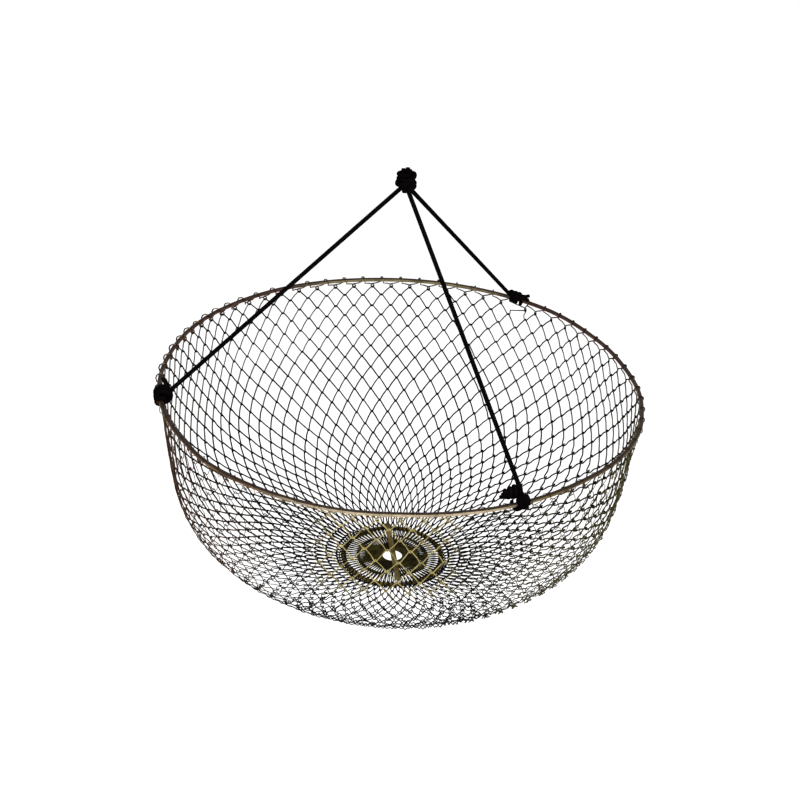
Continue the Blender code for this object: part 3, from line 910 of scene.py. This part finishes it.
def crowded(angle):
    """The hooks' even places, closed up by one hook at the left and slid a little along the hoop on the right."""
    placed = angle
    for first, last, degrees in CROWDING:
        placed = placed - angle.ramp(math.radians(first), math.radians(last)) * math.radians(degrees)
    here = placed.maths("WRAP", math.pi, -math.pi)
    for *places, degrees in SLIDES:
        placed = placed - stretch(here, *places) * math.radians(degrees)
    return placed


def beside_hitches(angle, run):
    """Hooks on the hoop are pushed apart where a cord is tied round it, and those below them less and less."""
    moved = angle
    for degrees in HITCHES.values():
        apart = (angle - (math.radians(degrees) + HITCH_MIDDLE)).maths("WRAP", math.pi, -math.pi)
        room = (HITCH_ROOM - apart.maths("ABSOLUTE")).maths("MAXIMUM", 0)
        moved = moved + apart.maths("SIGN") * room * (1 - run.ramp(0.006, 0.030))
    return moved


def widened_in_front(angle):
    """The hooks are spread wider left and right of the front's middle."""
    front = (angle.maths("SINE") * -1).ramp(0.1, 0.5)
    return 1 + front * 0.9 * angle.maths("COSINE").maths("ABSOLUTE").ramp(0.22, 0.45)


# %% How loose and how thick the wire is
WANDER = 0.0016


def opened(tree, given, angle, number):
    """How far each hook is bent open: by a random share of its own, and more on one side of the net."""
    chance = node_in(tree, "FunctionNodeRandomValue", {"Min": 0.0, "Max": 1.0, "ID": number * 2,
                                                       "Seed": given["Seed"]}, data_type="FLOAT")
    side = (given["Side"] * (angle + (given["Side"] + 1) * 0.4).maths("COSINE") + 1) * 0.5
    return (output(tree, chance, "Value") * 0.6 + 0.4) * given["Slack"] * side


def small_bends(tree, spot, run):
    """How a used wire wanders, in long bends and in short kinks. The hoop and the thick ring hold it still."""
    noises = [node_in(tree, "ShaderNodeTexNoise", {"Vector": spot, "Scale": scale, "Detail": detail})
              for scale, detail in ((17.0, 1.5), (140.0, 1.0))]
    held = run.ramp(0.0, 0.02) * (1 - run.ramp(0.322, 0.3371))
    return [((bend - 0.5) * 2 * WANDER + (kink - 0.5) * 0.6 * WANDER) * held
            for bend, kink in zip(*(parts_of(tree, noise.outputs["Color"]) for noise in noises))]


def drawn_thickness(tree):
    """The share of its full thickness that a wire is drawn with: less in front, where light eats into its edges."""
    x, y, z = parts_of(tree, own(tree, "Position"))
    off_middle = x.maths("ABSOLUTE")
    front, middle = (y * -1).ramp(-0.02, 0.12), 1 - off_middle.ramp(0.06, 0.14)
    # The wire is a little thinner still where the pale gold highlight is painted.
    gold_highlight_zone = (y * -1).ramp(0.16, 0.21) * (1 - off_middle.ramp(0.05, 0.08))
    low = 1 - (z - BASE_HEIGHT).ramp(0.004, 0.03)
    return 1 - front * (0.5 - middle * 0.15) - low * (1 - front) * 0.1 - gold_highlight_zone * 0.06


# %% Row tree
WIRE_SIDES = 6


def make_row_tree(name, finish):
    """One closed zigzag wire laid over the outline, from the hook shape in the input mesh."""
    tree, given = new_tree(name, Outline="Object", Columns="Int", Turn="Float", Top="Float", Bottom="Float",
                           Wire="Float", Seed="Int", Points="Int", Width="Float", Slack="Float", Side="Float",
                           Open="Float")
    index = own(tree, "Index")
    column = (index / given["Points"]).maths("FLOOR")
    step = index - column * given["Points"]
    info = node_in(tree, "GeometryNodeObjectInfo", {"Object": given["Outline"]})

    def template(value, kind="FLOAT"):
        node = node_in(tree, "GeometryNodeSampleIndex",
                       {"Geometry": given["Geometry"], "Value": value, "Index": step}, data_type=kind)
        return output(tree, node, "Value")

    def on_outline(length):
        node = node_in(tree, "GeometryNodeSampleCurve", {"Curves": info.outputs["Geometry"],
                                                         "Length": length}, mode="LENGTH", data_type="FLOAT")
        return parts_of(tree, output(tree, node, "Position")), parts_of(tree, output(tree, node, "Tangent"))

    # The hook's place in the row, and the run down the outline.
    share, drop, loose = (template(kept(tree, label)) for label in ("share", "drop", "loose"))
    even = crowded(given["Turn"] + (column + share) * COLUMN_PITCH)
    run = given["Top"] + (given["Bottom"] - given["Top"]) * drop
    hangs = even.maths("COSINE") * HANGS_RIGHT + HANGS_LOW
    run = run + hangs * run.ramp(0.0, 0.012) * (1 - run.ramp(0.22, 0.32))
    angle = beside_hitches(even, run)

    # The hook's own shape, opened, widened and a little bent.
    along, down, off = parts_of(tree, template(own(tree, "Position"), "FLOAT_VECTOR"))
    spread = 1 + opened(tree, given, even, column + share) * loose
    along = along * spread.maths("POWER", given["Open"]) * given["Width"] * widened_in_front(even)
    rough, _ = on_outline(run + OVER_HOOP)
    spot = vector(tree, rough[0] * angle.maths("COSINE"), rough[0] * angle.maths("SINE"), rough[2])
    bends = small_bends(tree, spot, run)
    along, down, off = along + bends[0], down * spread + bends[1], off * spread + bends[2]

    # Both are laid over the outline and turned round the axis.
    (radius, _, height), (outward, _, upward) = on_outline(run + down + OVER_HOOP)
    final = angle + along / radius
    bend = hoop_bend(angle) * (1 - run.ramp(0.0, 0.09))
    wide, high = radius + bend - off * upward, height + off * outward
    laid = vector(tree, wide * final.maths("COSINE"), wide * final.maths("SINE"), high)
    ring = node_in(tree, "GeometryNodeMeshCircle", {"Vertices": given["Columns"] * given["Points"], "Radius": 1.0},
                   fill_type="NONE")
    moved = node_in(tree, "GeometryNodeSetPosition", {"Geometry": ring.outputs[0], "Position": laid})

    # Strands that go down are marked with 1 for the finish, and those that go up with -1. The finish paints a grey
    # glint on the down strands on the left and the up strands on the right of the upper back.
    lit = step.maths("COMPARE", len(TOP_HOOK), 1.5) - step.maths("COMPARE", given["Points"] - 1, 1.5)
    curve = node_in(tree, "GeometryNodeMeshToCurve", {"Mesh": keep(tree, moved.outputs[0], "lit", lit)})
    skin = swept(tree, curve.outputs[0], WIRE_SIDES, given["Wire"], drawn_thickness(tree))
    end_tree(tree, skin, finish)
    return tree


def row(name, tree, k, top, bottom, shape, wire, width, slack=0.3, side=1.0, opening=1.0, seed=0):
    """Row k as a mesh, between two runs down the outline. Every second row is turned by half a hook."""
    source = SHAPES[shape].copy()
    return run_tree(name, tree, source, Outline=outline, Columns=COLUMNS, Turn=NET_TURN + (k % 2) * COLUMN_PITCH / 2,
                    Top=top, Bottom=bottom, Wire=wire, Seed=seed, Points=len(source.vertices), Width=width,
                    Slack=slack, Side=side, Open=opening)


# %% Rows of the basket
ROWS_OF = [(0, 1, 2)] + [(2 * i + 1, 2 * i + 2) for i in range(1, 10)] + [(21, 22, 23), (24, 25, 26)]
LOW_WIRE = 0.0018
NARROWER_FROM, NARROWEST_FROM = 5, 7
LOOSE_ROWS = range(10, 21)
ROW_TREE = make_row_tree("zigzag_row", NET_FINISH)


def row_style(k):
    """The hook shape, wire, width and looseness of one row. The first one hangs on the hoop."""
    if k == 0:
        return {"shape": "hoop", "wire": NET_WIRE, "width": 0.85, "slack": 0.55, "side": -1.0, "opening": 2.0}
    return {"shape": "ring" if k == len(LEVELS) - 2 else "wall", "wire": NET_WIRE if k < NARROWEST_FROM else LOW_WIRE,
            "width": 0.85 if k < NARROWER_FROM else 0.7 if k < NARROWEST_FROM else 0.5,
            "slack": 2.1 if k in LOOSE_ROWS else 0.3}


def height_at(run):
    """The outline's height at this run from the hoop."""
    lengths = np.concatenate(([0], np.cumsum([np.linalg.norm(b - a) for a, b in zip(OUTLINE, OUTLINE[1:])])))
    return float(np.interp(run + OVER_HOOP, lengths, [p[2] for p in OUTLINE]))


def share_to_step(weight):
    """The place between start and end at which the smooth step has this weight."""
    return 0.5 - math.sin(math.asin(1 - 2 * weight) / 3)


for number, members in enumerate(ROWS_OF, 1):
    meshes = [row(f"row_{k}", ROW_TREE, k, LEVELS[k] / 1000, LEVELS[k + 1] / 1000, seed=k, **row_style(k))
              for k in members]
    piece = as_piece(f"basket_row_{number:02}", meshes)
    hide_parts(f"net_row_{number:02}")
    # A row's top and bottom are worked out as shares of the depth and as places on a smooth step; nothing uses them.
    top, bottom = height_at(LEVELS[members[0]] / 1000), height_at(LEVELS[members[-1] + 1] / 1000)
    weights = [min(1, max(0, (HOOP_HEIGHT - h) / BASKET_DEPTH)) for h in (top, bottom)]
    low, high = (share_to_step(w) for w in weights)
    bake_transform(piece)

# %% [markdown]
# ## Inside the thick ring
# Three shorter rows run on from the thick ring to the small one, and their hooks crowd together there. The wall's
# kind of tree makes them too, over the flat end of the outline and in a dark olive finish.

# %% Rows inside the ring
INNER_TREE = make_row_tree("inner_row", INNER_FINISH)
RING_RUN = LEVELS[-1] / 1000
# Where each row begins and ends beyond the ring, in metres, and how wide its hooks are.
INNER_ROWS = ((0.0, 0.0180, 0.4), (0.0170, 0.0335, 0.3), (0.0325, 0.0432, 0.3))
INNER_SEED = 40
inner = [row(f"inner_{k}", INNER_TREE, k, RING_RUN + top, RING_RUN + bottom, "wall", LOW_WIRE, width,
             seed=INNER_SEED + k) for k, (top, bottom, width) in enumerate(INNER_ROWS)]
piece = as_piece("inner_rows", inner)
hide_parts("centre_row")
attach(piece, "base")

# %% [markdown]
# ## Bar
# A flat strap lies across the ring. It is cut from sheet, so its edges are slightly rounded, its ends are
# rounded off, and it has been bent a little by use. Its section is swept along it in plain mesh code.

# %% Bar across the ring
def strap_mesh(name, length, width, thick, rows=72):
    """A strap along X with rounded edges and ends, a slight twist and a slight bow."""
    ring = [(math.cos(t), math.sin(t)) for t in np.linspace(0, 2 * math.pi, 24, endpoint=False)]
    points, faces = [], []
    for i in range(rows + 1):
        s = 2 * i / rows - 1
        x = length / 2 * math.sin(s * math.pi / 2)
        reach = min(1, math.sqrt(max(0, 1 - max(0, (abs(x) - length / 2 + width / 2) / (width / 2)) ** 2)) + 0.02)
        twist = 0.05 * math.sin(3.1 * s)
        for c, d in ring:
            y = width / 2 * reach * math.copysign(abs(c) ** 0.35, c)
            z = thick / 2 * math.copysign(abs(d) ** 0.5, d) * (0.55 + 0.45 * reach)
            z += 0.0001 * math.cos(2.3 * s)
            points.append((x, y * math.cos(twist) - z * math.sin(twist), z + y * math.sin(twist)))
    count = len(ring)
    for i in range(rows):
        for j in range(count):
            a, b = i * count + j, i * count + (j + 1) % count
            faces.append((a, b, b + count, a + count))
    faces += [tuple(range(count))[::-1], tuple(range(rows * count, (rows + 1) * count))]
    mesh = bpy.data.meshes.new(name)
    mesh.from_pydata(points, [], [f[::-1] for f in faces])
    return mesh


low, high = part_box("bait_bar")
strap = strap_mesh("bar", 2 * (RING_RADIUS + 0.0005), 0.006, high.z - low.z - 0.0003)
strap.transform(Matrix.Translation((0, 0, (low.z + high.z) / 2)) @ Matrix.Rotation(BAR_TURN, 4, "Z"))
strap.materials.append(BAR_FINISH)
bar = as_piece("bar_across_ring", [strap])
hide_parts("bait_bar")
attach(bar, "base")
bpy.data.objects.remove(outline)

# %% [markdown]
# ## Light and floor
# The net hangs in a white studio. The floor is far below it, and broad soft lamps stand left, right and above.

# %% Studio
def add_floor():
    material, tree, shader, place = new_finish("studio_floor")
    base = mix(tree, speckle(tree, place, 2), colour(250, 250, 250), colour(255, 255, 255))
    feed(tree, shader.inputs["Base Color"], base)
    shader.inputs["Roughness"].default_value = 0.9
    size, height = 30, -1.6
    mesh = bpy.data.meshes.new("floor")
    corners = [(x * size, y * size, height) for x, y in ((-1, -1), (1, -1), (1, 1), (-1, 1))]
    mesh.from_pydata(corners, [], [(0, 1, 2, 3)])
    mesh.materials.append(material)
    add_object("floor", mesh)


def add_lamp(name, place, size, power):
    data = bpy.data.lights.new(name, "AREA")
    data.shape = "SQUARE"
    data.size = size
    data.energy = power
    middle = np.array((0, 0, HOOP_HEIGHT - 0.1))
    ahead = unit(middle - place)
    right = unit(np.cross(ahead, (0, 0, 1.0001)) + (1e-6, 0, 0))
    add_object(name, data).matrix_world = facing(place, right, np.cross(right, ahead), ahead)


add_floor()
add_lamp("key_lamp", np.array((-1.2, -1.6, 1.6)), 1.4, 34)
add_lamp("fill_lamp", np.array((1.6, -1.2, 1.0)), 1.4, 22)
add_lamp("top_lamp", np.array((0.1, 0.3, 2.2)), 1.6, 24)
world = bpy.data.worlds.new("white_studio")
world.use_nodes = True
world.node_tree.nodes["Background"].inputs[0].default_value = (1, 1, 1, 1)
world.node_tree.nodes["Background"].inputs[1].default_value = 1.0
bpy.context.scene.world = world
bpy.context.scene.view_settings.view_transform = "Standard"
